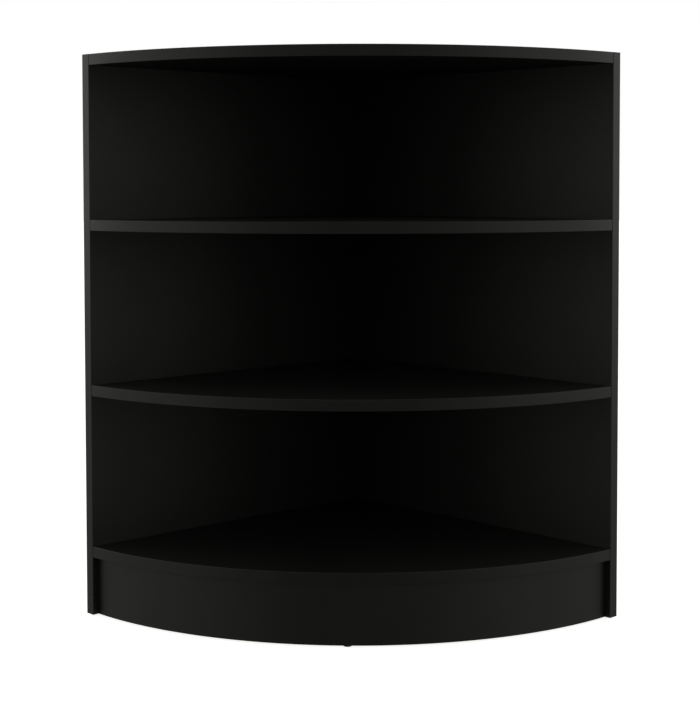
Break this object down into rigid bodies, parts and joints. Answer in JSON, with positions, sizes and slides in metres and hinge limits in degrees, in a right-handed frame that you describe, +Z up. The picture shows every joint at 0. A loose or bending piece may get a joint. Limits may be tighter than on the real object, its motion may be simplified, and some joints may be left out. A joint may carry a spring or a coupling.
{
  "type": "corner display unit",
  "caption": "Open quarter-round corner display unit: two upright panels meeting at the rear, curved-front top, shelves and deck between them, and a curved kick board.",
  "frame": {"origin": "middle of the footprint's box, on the floor, at the soles of the glides", "axes": "+Z up; the curved front faces -Y and the rear corner is at +Y; +X is to the right of a person facing the front"},
  "size_m": [0.9158, 0.6477, 0.968],
  "materials": {
    "black_melamine": "satin, faint grain emboss",
    "black_edge_band": "satin",
    "black_laminate": "satin",
    "kerfed_board": "raw particle board",
    "softwood_block": "sawn",
    "beech_dowel": "turned",
    "cast_zinc": "as cast",
    "zinc_steel": "bright zinc",
    "blackened_steel": "black phosphate",
    "black_cap": "matt",
    "black_nylon": "satin"
  },
  "bodies": {
    "root": {"centre_kick_block": "softwood_block", "deck_board": "black_melamine", "deck_cam_bolts": "zinc_steel", "deck_cam_covers": "black_cap", "deck_cam_locks": "cast_zinc", "deck_dowels": "beech_dowel", "deck_front_band": "black_edge_band", "glide_nails": "zinc_steel", "kick_block_screws": "blackened_steel", "kick_board": "kerfed_board", "kick_glide": "black_nylon", "kick_laminate": "black_laminate", "left_kick_block": "softwood_block", "left_panel_front_band": "black_edge_band", "left_panel_rear_band": "black_edge_band", "left_panel_top_band": "black_edge_band", "left_side_panel": "black_melamine", "lower_shelf": "black_melamine", "lower_shelf_cam_bolts": "zinc_steel", "lower_shelf_cam_covers": "black_cap", "lower_shelf_cam_locks": "cast_zinc", "lower_shelf_dowels": "beech_dowel", "lower_shelf_front_band": "black_edge_band", "panel_glides": "black_nylon", "rear_corner_dowels": "beech_dowel", "rear_corner_screws": "blackened_steel", "right_kick_block": "softwood_block", "right_panel_front_band": "black_edge_band", "right_panel_top_band": "black_edge_band", "right_side_panel": "black_melamine", "top_board": "black_melamine", "top_cam_bolts": "zinc_steel", "top_cam_covers": "black_cap", "top_cam_locks": "cast_zinc", "top_dowels": "beech_dowel", "top_front_band": "black_edge_band", "upper_shelf": "black_melamine", "upper_shelf_cam_bolts": "zinc_steel", "upper_shelf_cam_covers": "black_cap", "upper_shelf_cam_locks": "cast_zinc", "upper_shelf_dowels": "beech_dowel", "upper_shelf_front_band": "black_edge_band"}
  },
  "joints": []
}
